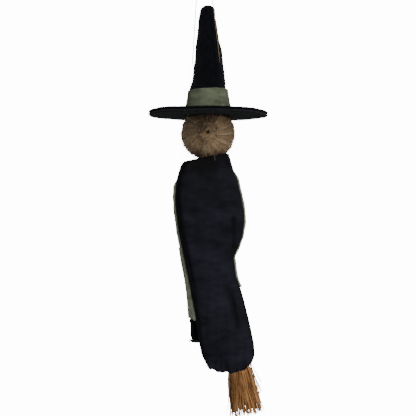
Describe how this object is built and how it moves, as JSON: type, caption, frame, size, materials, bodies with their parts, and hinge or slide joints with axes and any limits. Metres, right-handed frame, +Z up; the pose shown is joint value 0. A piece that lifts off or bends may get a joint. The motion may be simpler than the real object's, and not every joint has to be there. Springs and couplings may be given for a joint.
{
  "type": "hanging witch ornament",
  "caption": "Hanging textile witch figure with a felt hat, velvet dress and cape, jointed arms and legs, and a broom held in both hands on a thread loop.",
  "frame": {"origin": "top of the thread loop, where a hook or a twig carries the ornament", "axes": "+Z up along the hanging figure, the face looks along -Y, the cape's back looks along +Y"},
  "size_m": [0.0708, 0.0708, 0.284],
  "materials": {
    "gold_thread": "satin",
    "black_felt": "matte",
    "brim_felt": "matte",
    "fibre_fill": "matte",
    "sage_velvet": "satin",
    "head_wood": "satin",
    "bead_black": "gloss",
    "wool_roving": "matte",
    "dowel_wood": "satin",
    "body_cloth": "matte",
    "sewing_thread": "matte",
    "black_velvet": "satin",
    "black_cord": "satin",
    "armature_wire": "satin",
    "broom_wood": "satin",
    "broom_fibre": "matte",
    "binding_twine": "matte",
    "stocking_knit": "matte",
    "boot_felt": "matte",
    "sole_felt": "matte"
  },
  "bodies": {
    "hanger": {"hanging_loop": "gold_thread", "loop_knot": "gold_thread", "thread_crossing": "gold_thread"},
    "head": {"hat_cone": "black_felt", "hat_stuffing": "fibre_fill", "brim_upper": "black_felt", "brim_lower": "brim_felt", "hat_band": "sage_velvet", "band_lap": "sage_velvet", "head_ball": "head_wood", "nose": "head_wood", "eye_beads": "bead_black", "hair_cap": "wool_roving", "hair_bun": "wool_roving"},
    "torso": {"neck_dowel": "dowel_wood", "body_core": "body_cloth", "hip_pad": "body_cloth", "hip_thread": "sewing_thread", "dress_bodice": "sage_velvet", "dress_skirt": "sage_velvet", "cape": "black_velvet", "cape_tie": "black_cord", "tie_bow": "black_cord"},
    "arms": {"arm_wire": "armature_wire", "sleeve_left": "sage_velvet", "sleeve_right": "sage_velvet", "hand_left": "head_wood", "hand_right": "head_wood"},
    "broom": {"broom_stick": "broom_wood", "broom_bristles": "broom_fibre", "binding_upper": "binding_twine", "binding_lower": "binding_twine"},
    "left_leg": {"leg_left": "stocking_knit", "boot_left": "boot_felt", "sole_left": "sole_felt"},
    "right_leg": {"leg_right": "stocking_knit", "boot_right": "boot_felt", "sole_right": "sole_felt"}
  },
  "joints": [
    {"name": "loop_pivot", "type": "hinge", "parent": "hanger", "child": "head", "pos_m": [-0.0018, 0.0011, -0.071], "axis": [-0.8544, 0.5196, 0], "range_deg": [-75, 75]},
    {"name": "neck_turn", "type": "hinge", "parent": "head", "child": "torso", "pos_m": [-0.0018, 0.0021, -0.126], "axis": [0, 0, 1], "range_deg": [-60, 60]},
    {"name": "arms_swing", "type": "hinge", "parent": "torso", "child": "arms", "pos_m": [-0.0112, 0.0021, -0.1322], "axis": [-0.9905, 0, 0.1373], "range_deg": [0, 25]},
    {"name": "broom_slide", "type": "slide", "parent": "arms", "child": "broom", "axis": [0.1616, 0, 0.9869], "range_m": [-0.004, 0.006]},
    {"name": "left_leg_swing", "type": "hinge", "parent": "torso", "child": "left_leg", "pos_m": [0.0032, 0.0001, -0.214], "axis": [-1, 0, 0], "range_deg": [-5, 8]},
    {"name": "right_leg_swing", "type": "hinge", "parent": "torso", "child": "right_leg", "pos_m": [-0.0164, 0.0001, -0.214], "axis": [-1, 0, 0], "range_deg": [-5, 8]}
  ]
}
